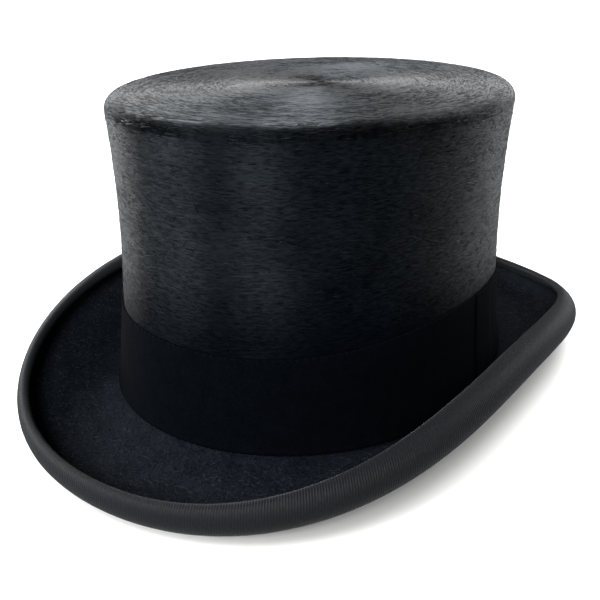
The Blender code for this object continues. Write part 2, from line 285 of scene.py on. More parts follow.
def disc_faces(columns, size):
    """Faces of sections that run out from the middle and back, with fans that close it."""
    starts = np.arange(columns) * size
    return close_ends(ring_faces(columns, size, wrap_size=False), starts, starts + size - 1, columns * size)


def points_at(x, y, z):
    """Points from coordinates of any matching shapes."""
    return np.stack(np.broadcast_arrays(x, y, z), -1)


def both_faces(outer, inner):
    """Section points up one face and back down the other."""
    return np.concatenate([outer, inner[:, ::-1]], 1)


def noise_sheet(rows, columns, row_blur, column_blur, seed):
    """Smooth random sheet of unit size, whose columns join up round the head."""
    sheet = np.random.default_rng(seed).standard_normal((rows, columns))
    waves = np.fft.fftfreq(columns)[None, :]
    steps = np.fft.fftfreq(rows)[:, None]
    soft = np.exp(-2.0 * (math.pi * waves * column_blur) ** 2 - 2.0 * (math.pi * steps * row_blur) ** 2)
    sheet = np.fft.ifft2(np.fft.fft2(sheet) * soft).real
    return sheet / sheet.std()


def relief(rows, columns, *layers):
    """Sum of random sheets, each with its blur over rows and columns, height and seed."""
    sheets = [noise_sheet(rows, columns, *blurs, seed).T * height for *blurs, height, seed in layers]
    return sum(sheets)


def along(surface, u, v, lift, step=1e-4):
    """Unit direction in which u runs over a surface."""
    return unit(surface(u + step, v, lift) - surface(u - step, v, lift))


# A lock's three stations: the share of its length, and of its width and height there.
LOCK_STATIONS = ((0.1, 0.75), (0.42, 1.0), (0.78, 0.62))
LOCK_POINTS = 2 + 3 * len(LOCK_STATIONS)
ROOT_DEPTH = 0.04 * MM


def lock_faces():
    """Triangles of one lock: its root, three points at each station, its tip."""
    tris = []
    for k in range(3):
        low, high = 1 + k, 1 + (k + 1) % 3
        tris.append((0, high, low))
        for station in (0, 3):
            tris.append((low + station, high + station, high + station + 3))
            tris.append((low + station, high + station + 3, low + station + 3))
        tris.append((low + 6, high + 6, LOCK_POINTS - 1))
    return np.array(tris)


def locks(name, surface, start, course, size, rise, finish, slot, seed, node=None, grain_scale=1.0, curl=0.0):
    """Many small tapered locks lying on a surface.

    start: (u, v) of each root; course: metres per unit of u, and each heading from the u direction;
    size: each length, width and height; rise: how far each tip lifts off; curl: how far it bends left.
    """
    rng = np.random.default_rng(seed)
    (u, v), (scale, heading), (length, width, height) = start, course, size
    count = len(u)
    bow = curl + rng.normal(0.0, 0.06, count) * length

    def place(share, side, lift):
        ahead = length * share
        aside = side * width * 0.5 + bow * share * share
        du = (ahead * np.cos(heading) - aside * np.sin(heading)) / scale
        dv = ahead * np.sin(heading) + aside * np.cos(heading)
        return surface(u + du, v + dv, lift)

    points = [place(0.0, 0.0, -ROOT_DEPTH)]
    for share, fullness in LOCK_STATIONS:
        ground = rise * share ** 2
        points += [place(share, side, ground - ROOT_DEPTH * 0.5) for side in (-fullness, fullness)]
        points.append(place(share, 0.0, ground + height * fullness))
    points.append(place(1.0, 0.0, rise))
    points = np.stack(points, 1)
    starts = np.arange(count)[:, None, None] * LOCK_POINTS
    faces = (starts + lock_faces()[None]).reshape(-1, 3)
    fibre = np.repeat(unit(points[:, -1] - points[:, 0]), LOCK_POINTS, 0)
    grain = rng.uniform(-60.0, 60.0, (count, 1, 3)) * grain_scale
    reach = np.array([0.0] + [share for share, _ in LOCK_STATIONS for _ in range(3)] + [1.0])
    grain = grain + reach[None, :, None] * np.array([1.0, 0.0, 0.0])
    add_piece(name, points.reshape(-1, 3), faces, finish, slot, node, grain=grain, fibre=fibre)


def draw(rng, count, *limits):
    """Random sizes, one array for each pair of limits in millimetres."""
    return [rng.uniform(low, high, count) * MM for low, high in limits]


# ---- materials

class Nodes:
    """Nodes of a material or world, with short calls for what recurs."""

    def __init__(self, owner):
        owner.use_nodes = True
        self.owner = owner
        self.tree = owner.node_tree

    def feed(self, socket, value):
        """Links a socket to an output, or sets its value."""
        if isinstance(value, bpy.types.NodeSocket):
            self.tree.links.new(value, socket)
        else:
            socket.default_value = value

    def add(self, kind, inputs, output=0, **settings):
        """Adds a node and returns one of its outputs."""
        node = self.tree.nodes.new("ShaderNode" + kind)
        for name, value in settings.items():
            setattr(node, name, value)
        for name, value in inputs.items():
            self.feed(node.inputs[name], value)
        return node.outputs[output]

    def place(self):
        return self.add("TexCoord", {}, "Object")

    def stored(self, name):
        """Vector that is stored with the piece."""
        return self.add("Attribute", {}, "Vector", attribute_name=name)

    def seen_by_camera(self):
        return self.add("LightPath", {}, "Is Camera Ray")

    def noise(self, vector, scale, detail=3.0, rough=0.5):
        inputs = {"Vector": vector, "Scale": scale, "Detail": detail, "Roughness": rough}
        return self.add("TexNoise", inputs, "Fac")

    def ramp(self, value, low, high, **settings):
        """Maps a range to another; low and high are (input, output) pairs."""
        ends = {"From Min": low[0], "To Min": low[1], "From Max": high[0], "To Max": high[1]}
        return self.add("MapRange", {"Value": value, **ends}, "Result", **settings)

    def smooth_step(self, value, start, end):
        """Rises smoothly from 0 to 1 between two values."""
        return self.ramp(value, (start, 0.0), (end, 1.0), interpolation_type="SMOOTHSTEP")

    def maths(self, operation, *values):
        return self.add("Math", dict(enumerate(values)), operation=operation)

    def vector_maths(self, operation, output, *values):
        return self.add("VectorMath", dict(enumerate(values)), output, operation=operation)

    def times(self, first, *others):
        for other in others:
            first = self.maths("MULTIPLY", first, other)
        return first

    def blend(self, factor, dark, light):
        inputs = {"Factor": factor, "A": (*dark, 1.0), "B": (*light, 1.0)}
        return self.add("Mix", inputs, "Result", data_type="RGBA")

    def bump(self, height, strength, depth):
        return self.add("Bump", {"Strength": strength, "Distance": depth, "Height": height}, "Normal")

    def gleam_across(self, amount):
        """Inputs that spread a gleam across the piece's fibres."""
        fibre = self.stored("fibre")
        return {"Anisotropic": amount, "Anisotropic Rotation": QUARTER_TURN, "Tangent": fibre}

    def vary(self, value, low, high):
        """Maps a noise's usual range onto another."""
        return self.ramp(value, (0.3, low), (0.7, high))

    def finish(self, colour, rough, specular, normal, **others):
        """Feeds the shader and returns the material; others are named like the inputs."""
        shader = self.tree.nodes["Principled BSDF"]
        inputs = {"Base Color": colour, "Roughness": rough, "Specular IOR Level": specular, "Normal": normal}
        for name, value in {**inputs, **others}.items():
            self.feed(shader.inputs[name], value)
        return self.owner


def new_finish(name):
    return Nodes(bpy.data.materials.new(name))


def sheen(weight, rough, tint=(1.0, 1.0, 1.0)):
    return {"Sheen Weight": weight, "Sheen Roughness": rough, "Sheen Tint": (*tint, 1.0)}


QUARTER_TURN = 0.25
COOL_GLEAM = (0.74, 0.89, 1.0, 1.0)  # black fur gives back a slightly blue light when seen square on
WHORL_MIDDLE = 28.0 * MM  # reach of the dull spot where the tip's nap meets
PAINTED_SHADE_FOOT = (42.0 * MM, 90.0 * MM)  # heights between which the crown's nap gains its full gleam; below them its gleam and edge light are dimmed as painted shade from the brim
EDGE_LEVELS = (TOP_HEIGHT - 1.9 * TIP_EDGE_RADIUS, TOP_HEIGHT - 0.9 * TIP_EDGE_RADIUS)
FLAT_LEVELS = (TOP_HEIGHT - 0.6 * TIP_EDGE_RADIUS, TOP_HEIGHT - 0.02 * TIP_EDGE_RADIUS)


def fur_finish(name, dark, light, specular, rough, sheen_weight, sheen_rough):
    """Brushed fur: streaks along the nap, an oriented gleam and a soft edge light, with painted shade that dims
    both towards the crown's foot.

    specular is a pair: the gleam below the crown's rounded top edge, and on the flat tip.
    """
    fur = new_finish(name)
    place = fur.place()
    streak = fur.noise(fur.stored("grain"), 1.0, 2.0, 0.55)
    fuzz = fur.noise(place, 1300.0, 2.0)
    patch = fur.vary(fur.noise(place, 45.0, 2.0), 0.85, 1.15)
    uneven = fur.times(streak, patch)
    height = fur.add("SeparateXYZ", {0: place}, "Z")
    on_flat = fur.smooth_step(height, *FLAT_LEVELS)
    above_painted_shade = fur.smooth_step(height, *PAINTED_SHADE_FOOT)
    full = fur.ramp(on_flat, (0.0, specular[0]), (1.0, specular[1]))
    edge = fur.ramp(fur.smooth_step(height, *EDGE_LEVELS), (0.0, 1.0), (1.0, 0.8))
    dull_edge = fur.maths("MAXIMUM", edge, on_flat)
    # painted shade: the gleam falls to 0.12 at the crown's foot, standing in for the shade under the brim
    foot_painted_shade = fur.ramp(above_painted_shade, (0.0, 0.12), (1.0, 1.0))
    from_axis = fur.vector_maths("LENGTH", "Value", fur.vector_maths("MULTIPLY", 0, place, (1.0, 1.0, 0.0)))
    dull_whorl = fur.ramp(fur.smooth_step(from_axis, 0.0, WHORL_MIDDLE), (0.0, 0.05), (1.0, 1.0))
    flicker = fur.vary(uneven, 0.3, 1.9)
    # painted shade: the edge light (sheen) drops to a fifth at the crown's foot, for the same shade under the
    # brim
    soft = fur.ramp(above_painted_shade, (0.0, 0.2 * sheen_weight), (1.0, sheen_weight))
    return fur.finish(
        fur.blend(fur.vary(uneven, 0.0, 1.0), dark, light),
        fur.vary(streak, rough + 0.08, rough - 0.08),
        fur.times(full, dull_edge, foot_painted_shade, dull_whorl, flicker),
        fur.bump(fur.maths("MULTIPLY_ADD", fuzz, 0.45, streak), 0.8, 0.15 * MM),
        **{"Specular Tint": COOL_GLEAM}, **fur.gleam_across(0.85), **sheen(soft, sheen_rough, (0.88, 0.94, 1.0)),
    )


def felt_finish(name, dark, light, specular, rough, sheen_weight, scale=900.0, depth=0.3):
    """Matted felt or wool: short fuzz with no direction."""
    felt = new_finish(name)
    place = felt.place()
    fuzz = felt.noise(place, scale, 5.0, 0.65)
    patch = felt.vary(felt.noise(place, scale * 0.12, 2.0), 0.88, 1.12)
    share = felt.ramp(felt.times(fuzz, patch), (0.35, 0.0), (0.7, 1.0))
    return felt.finish(
        felt.blend(share, dark, light), felt.vary(fuzz, rough + 0.08, rough - 0.06), specular,
        felt.bump(fuzz, 0.6, depth * MM), **sheen(sheen_weight, 0.45, (0.9, 0.95, 1.0)),
    )


def woven_finish(name, dark, light, specular, rough, sheen_weight, pitch):
    """Woven ribbon, tape or thread: fine crossing yarns, read from the piece's grain vectors."""
    cloth = new_finish(name)
    grain = cloth.stored("grain")
    wave_inputs = {"Vector": grain, "Scale": 1.0 / pitch, "Distortion": 1.5, "Detail": 2.0}
    wave = cloth.add("TexWave", wave_inputs, "Fac", wave_type="BANDS", bands_direction="DIAGONAL")
    slub = cloth.noise(grain, 0.6 / pitch)
    yarn = cloth.times(wave, cloth.vary(slub, 0.6, 1.2))
    return cloth.finish(
        cloth.blend(yarn, dark, light), cloth.vary(slub, rough + 0.1, rough - 0.1), specular,
        cloth.bump(yarn, 0.35, 0.12 * MM), **sheen(sheen_weight, 0.4, (0.92, 0.96, 1.0)),
    )


def leather_finish(name, dark, light):
    """Dressed sheepskin: fine pores and a cloudy tone."""
    leather = new_finish(name)
    place = leather.place()
    cell_inputs = {"Vector": place, "Scale": 1100.0}
    cells = leather.add("TexVoronoi", cell_inputs, "Distance", feature="DISTANCE_TO_EDGE")
    tone = leather.noise(place, 60.0, 4.0, 0.6)
    return leather.finish(
        leather.blend(tone, dark, light), leather.vary(tone, 0.52, 0.38), 0.45,
        leather.bump(leather.ramp(cells, (0.0, 0.0), (0.25, 1.0)), 0.3, 0.1 * MM),
    )


def satin_finish(name, dark, light):
    """Satin: fine yarns and a gleam spread across them."""
    satin = new_finish(name)
    yarn = satin.noise(satin.stored("grain"), 1.0, 2.0)
    return satin.finish(
        satin.blend(yarn, dark, light), satin.vary(yarn, 0.4, 0.28), 0.6,
        satin.bump(yarn, 0.12, 0.08 * MM), **satin.gleam_across(0.5), **sheen(0.25, 0.3),
    )


def shellac_finish(name, dark, light):
    """Stiff shellacked cloth: an open weave under a brown, uneven lacquer."""
    shellac = new_finish(name)
    place = shellac.place()
    weave_inputs = {"Vector": place, "Scale": 1400.0, "Randomness": 0.25}
    weave = shellac.add("TexVoronoi", weave_inputs, "Distance")
    pool = shellac.noise(place, 80.0)
    return shellac.finish(
        shellac.blend(pool, dark, light), shellac.vary(pool, 0.55, 0.3), 0.5,
        shellac.bump(weave, 0.4, 0.15 * MM),
    )


# ---- crown

FUR_LENGTH = 3.4 * MM  # length of a streak in the brushed nap, and its width
FUR_WIDTH = 0.65 * MM
RIM_HOLD = 0.9996  # share of a face where its last row starts, to keep the rim crisp


def crown_surface(angle, height, lift):
    return wall(angle, height, -lift)


def crown_to_edge(angle, height, lift):
    """The crown's surface, rounding in at its top edge."""
    over = fade(height - EDGE_START, TIP_EDGE_RADIUS)
    return wall(angle, height, TIP_EDGE_RADIUS * (1.0 - np.sqrt(1.0 - over ** 2)) - lift)


def streak_grain(points, level):
    """Noise coordinates that stretch along the nap."""
    return np.concatenate([points[..., :2] / FUR_LENGTH, (level / FUR_WIDTH)[..., None]], -1)


def make_crown_side(finish):
    columns, hidden_rows, seen_rows, inner_rows = 600, 14, 118, 8
    angle = around(columns)
    foot, inner_foot = (brim_top(angle, inset) for inset in FELT_WALL)
    behind_band = band_top(angle) - 3.0 * MM
    hidden = steps(hidden_rows, endpoint=False)
    seen = np.append(np.linspace(0.0, RIM_HOLD, seen_rows - 1), 1.0)[None, :]
    level = np.concatenate([mix((foot, behind_band), hidden), mix((behind_band, EDGE_START), seen)], 1)
    nap = relief(level.shape[1], columns, (0.8, 6.0, 0.03 * MM, 11), (9.0, 14.0, 0.05 * MM, 12))
    nap *= fade(np.minimum(level - foot, EDGE_START - level), 4.0 * MM)
    inner_level = mix((inner_foot, EDGE_START), steps(inner_rows))
    points = both_faces(wall(angle, level, FELT_WALL[0] - nap), wall(angle, inner_level, FELT_WALL[1]))
    fibre = along(crown_surface, angle, both_faces(level, inner_level), 0.0)
    grain = streak_grain(points, points[..., 2])
    loft("crown_side_fur", points, finish, "fur_felt", "crown_side_felt", grain=grain, fibre=fibre)


def crown_metric(angle):
    """Metres of wall per radian round the head."""
    return np.hypot(BASE_OVAL[0] * np.cos(angle), BASE_OVAL[1] * np.sin(angle)) * 0.96


def even_angles(rng, count):
    """Random angles spread evenly by length round the head."""
    table = np.linspace(0.0, TAU, 2049)
    length = np.concatenate([[0.0], np.cumsum(crown_metric(0.5 * (table[1:] + table[:-1])))])
    return np.interp(rng.uniform(0.0, length[-1], count), length, table)


def crown_spots(rng, count, above_band, top, spread):
    """Random places on the crown, each with its metres per radian and a heading near the nap's."""
    angle = even_angles(rng, count)
    height = mix((band_top(angle) + above_band, top), rng.uniform(0.0, 1.0, count))
    return (angle, height), (crown_metric(angle), rng.normal(0.0, spread, count))


def make_crown_nap(finish):
    """Short locks that lie along the brushed nap."""
    rng, count = np.random.default_rng(21), 9800
    top = TOP_HEIGHT - TIP_EDGE_RADIUS * 0.45
    start, course = crown_spots(rng, count, -1.0 * MM, top, 0.09)
    size = draw(rng, count, (3.0, 8.0), (0.18, 0.42), (0.03, 0.07))
    rise = np.abs(rng.normal(0.0, 0.12, count)) * MM
    locks("crown_side_nap", crown_to_edge, start, course, size, rise, finish, "fur_felt", seed=22)


def make_stray_hairs(finish):
    """Single long hairs that stand off the brushed nap."""
    rng, count = np.random.default_rng(31), 9000
    start, course = crown_spots(rng, count, 1.0 * MM, EDGE_START, 0.45)
    length, width, rise = draw(rng, count, (1.5, 5.0), (0.09, 0.17), (0.1, 0.95))
    size = (length, width, width * 0.5)
    locks("crown_stray_hairs", crown_surface, start, course, size, rise, finish, "fur_felt", seed=32)


def whorl_direction(points):
    """Direction of the tip's nap, which goes round the middle."""
    x, y = points[..., 0], points[..., 1]
    ratio = TOP_OVAL[1] / TOP_OVAL[0]
    not_nought = 1e-9
    return unit(np.stack([not_nought - y / ratio, x * ratio, np.zeros_like(x)], -1))


def make_crown_tip(finish):
    columns, flat_rows, edge_rows = 480, 114, 16
    angle = around(columns)
    over_edge = np.append(np.linspace(0.0, RIM_HOLD, edge_rows - 1), 1.0) * EDGE_SHARE
    flat_share = np.linspace(0.02, 1.0, flat_rows, endpoint=False)
    share = np.concatenate([flat_share, 1.0 + over_edge])[None, :]
    nap = relief(share.size, columns, (0.8, 4.0, 0.025 * MM, 41), (9.0, 16.0, 0.05 * MM, 42))
    nap *= fade(share, 0.15) * fade(1.0 + EDGE_SHARE - share, 0.03)
    inner_share = np.array([0.02, 0.5, 1.0, 1.035, 1.07, 1.1])[None, :]
    sections = both_faces(tip(angle, share, nap), tip(angle, inner_share, -FELT_WALL[1]))
    centres = [[0.0, 0.0, TOP_HEIGHT], [0.0, 0.0, TOP_HEIGHT - FELT_WALL[1]]]
    points = np.concatenate([sections.reshape(-1, 3), centres])
    reach = np.hypot(points[:, 0] / TOP_OVAL[0], points[:, 1] / TOP_OVAL[1]) * TOP_OVAL[0]
    add_piece("crown_tip_fur", points, disc_faces(*sections.shape[:2]), finish, "fur_felt_tip",
              "crown_tip_felt", grain=streak_grain(points, reach), fibre=whorl_direction(points))


def tip_plan(x, y, lift):
    """Point of the tip over a place in plan."""
    across, back = x / FLAT_OVAL[0], y / FLAT_OVAL[1]
    return tip(np.arctan2(across, -back), np.hypot(across, back), lift)


def make_tip_nap(finish):
    """Short locks that lie round the tip's whorl."""
    rng, count = np.random.default_rng(51), 9800
    angle = rng.uniform(0.0, TAU, count)
    share = np.sqrt(rng.uniform(0.0025, 1.0, count)) * 1.08
    x, y = FLAT_OVAL[0] * share * np.sin(angle), -FLAT_OVAL[1] * share * np.cos(angle)
    nap = whorl_direction(np.stack([x, y], -1))
    heading = np.arctan2(nap[:, 1], nap[:, 0]) + rng.normal(0.0, 0.14, count)
    reach = np.hypot(x, y)
    length, width, body = draw(rng, count, (2.0, 7.0), (0.18, 0.4), (0.03, 0.07))
    length = np.minimum(length, reach * 0.9)
    rise = np.abs(rng.normal(0.0, 0.08, count)) * MM
    locks("crown_tip_nap", tip_plan, (x, y), (np.ones(count), heading), (length, width, body), rise,
          finish, "fur_felt_tip", seed=52, curl=0.5 * length ** 2 / reach)


# ---- brim

def make_brim_felt(finish):
    columns, rows = 480, 84
    angle = around(columns)
    flange, roll = brim_lengths(angle)
    run = brim_run(angle, rows)
    nap = relief(rows, columns, (1.2, 1.2, 0.06 * MM, 61))
    nap *= fade(flange + roll * BINDING_UPPER_SHARE - run, 2.0 * MM)
    upper = brim(angle, run, BRIM_FELT[1] + nap)
    lower = brim(angle, run[:, ::4], BRIM_FELT[0])
    loft("brim_felt_cover", both_faces(upper, lower), finish, "brim_felt", "brim_felt")


def brim_surface(angle, run, lift):
    return brim(angle, run, BRIM_FELT[1] + lift)


def make_brim_fuzz(finish):
    """Short fibres that lie every way on the brim's upper face."""
    rng, count = np.random.default_rng(71), 9000
    angle = even_angles(rng, count)
    flange, roll = brim_lengths(angle)
    run = mix((0.5 * MM, flange + roll * 0.25), np.sqrt(rng.uniform(0.0, 1.0, count)))
    course = (crown_metric(angle) + run, rng.uniform(0.0, TAU, count))
    length, width, rise = draw(rng, count, (1.2, 3.4), (0.08, 0.2), (0.05, 0.4))
    size = (length, width, width * 0.5)
    locks("brim_fuzz", brim_surface, (angle, run), course, size, rise, finish, "brim_felt", seed=72)


def make_underbrim(finish):
    columns, rows = 420, 48
    angle = around(columns)
    run = brim_run(angle, rows)
    lower = brim(angle, run, UNDERBRIM[0] - relief(rows, columns, (1.5, 1.5, 0.02 * MM, 81)))
    upper = brim(angle, run[:, ::4], UNDERBRIM[1])
    loft("underbrim_facing", both_faces(lower, upper), finish, "underbrim_felt", "underbrim_felt")


RIB_COUNT = 860  # grosgrain ribs round the brim's edge, about 1 mm apart
RIB_STEPS = 4
RIB_HEIGHT = 0.22 * MM
RIBBON_WIDTH = 27.0 * MM  # both faces of the binding's section, laid flat


def binding_line(angle, offset, upper_steps, end_steps, lower_steps):
    """Line from the binding's upper margin round the brim's edge to its lower margin."""
    flange, roll = brim_lengths(angle)
    upper = flange + roll * steps(upper_steps, BINDING_UPPER_SHARE, 1.0, endpoint=False)
    turn = steps(end_steps, 0.0, math.pi)
    lower = mix((flange - BINDING_PAST_ROLL, flange + roll), steps(lower_steps, 1.0, 0.0)[:, 1:])
    return np.concatenate([
        brim(angle, upper, offset),
        brim(angle, flange + roll, offset * np.cos(turn), offset * np.sin(turn)),
        brim(angle, lower, -offset),
    ], 1)


def make_binding(finish):
    """Ribbon folded over the brim's edge, with its cross ribs."""
    columns = RIB_COUNT * RIB_STEPS
    column = np.arange(columns)[:, None]
    phase = (column % RIB_STEPS) / RIB_STEPS
    rib = (np.abs(np.sin(math.pi * phase)) ** 0.7 - 0.6) * RIB_HEIGHT
    outer = binding_line(around(columns), BINDING[1] + rib, 3, 5, 12)
    inner = binding_line(around(columns), BINDING[0], 1, 3, 5)
    points = both_faces(outer, inner)
    width = steps(points.shape[1], 0.0, RIBBON_WIDTH)
    grain = points_at(column * MM / RIB_STEPS, width, 0.0)
    loft("brim_binding_ribbon", points, finish, "grosgrain", "brim_binding", grain=grain)


# ---- band

BAND_END = 92.5 * DEG  # visible end of the band, on the wearer's left
BAND_LAP = 8.0 * DEG
BAND_CLIMB = 4.0 * DEG  # angle over which the band climbs onto its own start
BAND_CLOTH = 0.55 * MM  # thickness of one layer of the band's cloth
HEAD_RADIUS = 98.0 * MM  # mean radius of the crown's foot
BAND_STITCHES = 180
STITCH_DROP = 0.8 * MM  # from the band's top edge down to its stitches


def make_band(finish):
    """Strip with a bead at its lower edge and dimples under its top stitches."""
    columns, rows = 1500, 30
    span = TAU + BAND_LAP
    share = np.linspace(0.0, 1.0, columns)[:, None]
    angle = BAND_END + BAND_LAP - span * share
    climb = fade(share * span - (TAU - 5.0 * DEG), BAND_CLIMB)
    lift = GAP + (climb * climb * (3.0 - 2.0 * climb)) * (BAND_CLOTH + 0.03 * MM)
    even = steps(rows)
    level = 0.45 * (0.5 - 0.5 * np.cos(math.pi * even)) + 0.55 * even
    end = fade(np.minimum(share, 1.0 - share) * span * HEAD_RADIUS, 1.2 * MM)
    thick = BAND_CLOTH * (0.3 + 0.7 * rounded(end))
    foot = brim_top(angle, -lift - thick)
    height = mix((foot, band_top(angle)), level)
    from_top, from_foot = band_top(angle) - height, height - foot
    round_edges = rounded(fade(np.minimum(from_top, from_foot), 0.7 * MM))
    bead = swell(from_foot - 1.3 * MM, 0.8 * MM) * 0.4 * MM
    between = np.mod(np.mod(angle - BAND_END, TAU) / TAU * BAND_STITCHES, 1.0)
    dimple = swell(between - 0.5, 0.16) * swell(from_top - STITCH_DROP, 0.6 * MM) * 0.34 * MM
    uneven = relief(rows, columns, (1.5, 4.0, 0.03 * MM, 91))
    outer = wall(angle, height, -(lift + thick * (0.35 + 0.65 * round_edges) + bead - dimple + uneven))
    inner = wall(angle, height[:, ::5], -lift)
    loft("hat_band_cloth", both_faces(outer, inner), finish, "band_cloth", "hat_band", closed=False)


def band_face(angle, height, lift):
    """The band's outer face, also where the band laps itself."""
    past = np.mod(angle - BAND_END, TAU)
    layers = np.clip(1.0 - (past - BAND_LAP) / BAND_CLIMB, 0.0, 1.0)
    return wall(angle, height, -(GAP + BAND_CLOTH * (1.0 + layers) + lift))


# ---- stitches

def stitches(name, surface, level, spots, metric, size, finish, slot, node, slant=0.0):
    """A row of stitches at a level off a surface, each a small tapered strand."""
    count = len(metric)
    length, width = (np.full(count, value) for value in size)

    def face(u, v, lift):
        return surface(u, v, level + lift)

    locks(name, face, spots, (metric, np.full(count, slant)), (length, width, width * 0.45),
          np.zeros(count), finish, slot, seed=101, node=node, grain_scale=0.01)


def make_band_stitches(finish):
    """Slanting stitches in the dimples at the band's top edge, and along its foot."""
    angle = BAND_END + (np.arange(BAND_STITCHES) + 0.5) * TAU / BAND_STITCHES
    metric = crown_metric(angle)
    top = (angle - 0.35 * MM / metric, band_top(angle) - STITCH_DROP)
    stitches("band_top_thread", band_face, -0.22 * MM, top, metric, (0.9 * MM, 0.3 * MM), finish,
             "black_thread", "band_top_stitch", slant=0.35)
    low = (angle, brim_top(angle, -1.2 * MM) + 0.5 * MM)
    stitches("band_bottom_thread", band_face, 0.0, low, metric, (1.0 * MM, 0.3 * MM), finish,
             "black_thread", "band_bottom_stitch", slant=-0.35)


def make_binding_stitches(finish):
    """Stitches along the binding's upper margin."""
    angle = angles(288)
    flange, roll = brim_lengths(angle)
    spots = (angle, flange + roll * BINDING_UPPER_SHARE + 0.8 * MM)
    metric = crown_metric(angle) + flange + 5.0 * MM
    stitches("binding_thread", brim, BINDING[1], spots, metric, (1.6 * MM, 0.4 * MM), finish,
             "black_thread", "binding_stitch")


def make_sweatband_stitches(finish):
    """Stitches that join the reed's tape to the leather."""
    angle = angles(190)
    spots = (angle, break_height(angle) + 2.4 * MM)
    stitches("sweatband_thread", wall, 5.95 * MM, spots, crown_metric(angle), (2.0 * MM, 0.42 * MM), finish,
             "tan_thread", "sweatband_stitch")


# ---- inside

REED_INSET = 4.65 * MM  # the reed's middle, in from the crown's outer surface
REED_RISE = 0.3 * MM  # and its height over the line where crown and brim meet
REED_RADIUS = 0.6 * MM
PIPING_RADIUS = 0.8 * MM


def sweatband_inset(angle, height, face, further=0.0):
    rise = (height - break_height(angle)) / SWEATBAND_HEIGHT
    return SWEATBAND_WALL[face] + SWEATBAND_LEAN * rise + further


def make_sweatband(finish):
    """Leather band with rounded edges and a pressed crease near its top."""
    columns, rows = 420, 36
    angle = around(columns)
    low, top = break_height(angle) + 1.2 * MM, break_height(angle) + SWEATBAND_HEIGHT
    height = mix((low, top), steps(rows))
    ripple = relief(rows, columns, (10.0, 12.0, 0.05 * MM, 111))
    edge = (1.0 - rounded(fade(np.minimum(height - low, top - height), 0.8 * MM))) * 0.35 * MM
    crease = swell(height - top + 3.0 * MM, 0.35 * MM) * 0.12 * MM
    inner = wall(angle, height, sweatband_inset(angle, height, 1, ripple - edge - crease))
    outer = wall(angle, height, sweatband_inset(angle, height, 0, 0.5 * edge + 0.05 * MM))
    loft("sweatband_leather", both_faces(inner, outer), finish, "sweatband_leather", "sweatband")


def cord(name, inset, level, radius, finish, slot, node, twists=0, sides=12, columns=900):
    """Round cord inside the wall; with twists, its two strands show as winding ridges."""
    angle = around(columns)
    turn = steps(sides, 0.0, TAU, endpoint=False)
    ridge = 1.0 + 0.16 * np.cos(2.0 * turn - twists * angle) if twists else 1.0
    height = level(angle) + radius * ridge * np.sin(turn)
    points = wall(angle, height, inset + radius * ridge * np.cos(turn))
    fibre = np.broadcast_to(along(crown_surface, angle, level(angle), 0.0), points.shape)
    loft(name, points, finish, slot, node, grain=points / MM, fibre=fibre)


def reed_level(angle):
    return break_height(angle) + REED_RISE


def piping_level(angle):
    return EDGE_START + 0.0 * angle


def make_reed_tape(finish):
    """Tape folded under the reed: head side, rounded fold, wall side."""
    columns, side_steps, fold_steps = 700, 8, 9
    radius, thickness = 1.15 * MM, 0.3 * MM
    angle = around(columns)
    centre = reed_level(angle)
    head_top, wall_top = break_height(angle) + 4.5 * MM, break_height(angle) + 5.5 * MM
    fold = steps(fold_steps, math.pi, TAU)
    down = steps(side_steps, 1.0, 0.0, endpoint=False)
    up = steps(side_steps + 1)[:, 1:]

    def face(reach, rib):
        inset = np.concatenate([0.0 * down + reach, -reach * np.cos(fold), 0.0 * up - reach], 1)
        head_side, wall_side = mix((centre, head_top), down), mix((centre, wall_top), up)
        height = np.concatenate([head_side, centre + reach * np.sin(fold), wall_side], 1)
        return wall(angle, height, REED_INSET + inset + rib)

    rib = 0.03 * MM * np.sin(angle * columns / 4.0)
    points = both_faces(face(radius, rib), face(radius - thickness, 0.0))
    loft("reed_tape_cloth", points, finish, "tape", "reed_tape", grain=points / MM)


def make_join_tape(finish):
    """Upright strip over the leather's join at the back."""
    columns, rows = 15, 60
    share = np.linspace(-1.0, 1.0, columns)[:, None]
    angle = math.pi + share * 2.4 * DEG
    height = break_height(angle) + mix((9.5 * MM, 48.0 * MM), steps(rows))
    soft_edge = np.sqrt(fade(1.0 - np.abs(share), 0.3))
    ribs = np.cos(steps(rows, 0.0, 60.0)) ** 2
    puff = 0.15 * MM * soft_edge + 0.05 * MM * ribs
    outer = wall(angle, height, sweatband_inset(angle, height, 1, 0.75 * MM + puff))
    inner = wall(angle, height, sweatband_inset(angle, height, 1, 0.55 * MM))
    points = both_faces(outer, inner)
    grain = points / MM
    loft("sweatband_join_strip", points, finish, "tape", "sweatband_join_tape", closed=False, grain=grain)


BOW_WIDTH_STEPS = 9
BOW_BEND = 66.0 * MM  # radius of the sweatband at the back, which the bow lies against


def bow_loop(side):
    """One flattened loop of the bow, flaring away from the knot."""
    turn = around(40)
    width = steps(BOW_WIDTH_STEPS, -1.0)
    out = 0.5 * (1.0 - np.cos(turn))
    x = side * (1.0 * MM + 7.6 * MM * out)
    y = 0.75 * MM * np.sin(turn) * np.sqrt(out + 0.02) - 0.5 * x ** 2 / BOW_BEND
    z = width * (1.1 * MM + 2.4 * MM * out) + 0.25 * MM * np.sin(turn * 2.0)
    sheet = points_at(x, y, z)
    push = points_at(np.cos(turn) * side, np.sin(turn), 0.0 * width)
    return both_faces(sheet, sheet - 0.22 * MM * push)


def bow_knot():
    """The ribbon's short turn across the middle of the bow."""
    turn = around(24)
    x = steps(BOW_WIDTH_STEPS, -1.0) * 1.5 * MM * (1.0 + 0.15 * np.cos(2.0 * turn))

    def face(depth, height):
        return points_at(x, depth * np.cos(turn), height * np.sin(turn))

    return both_faces(face(1.05 * MM, 2.0 * MM), face(0.8 * MM, 1.75 * MM))


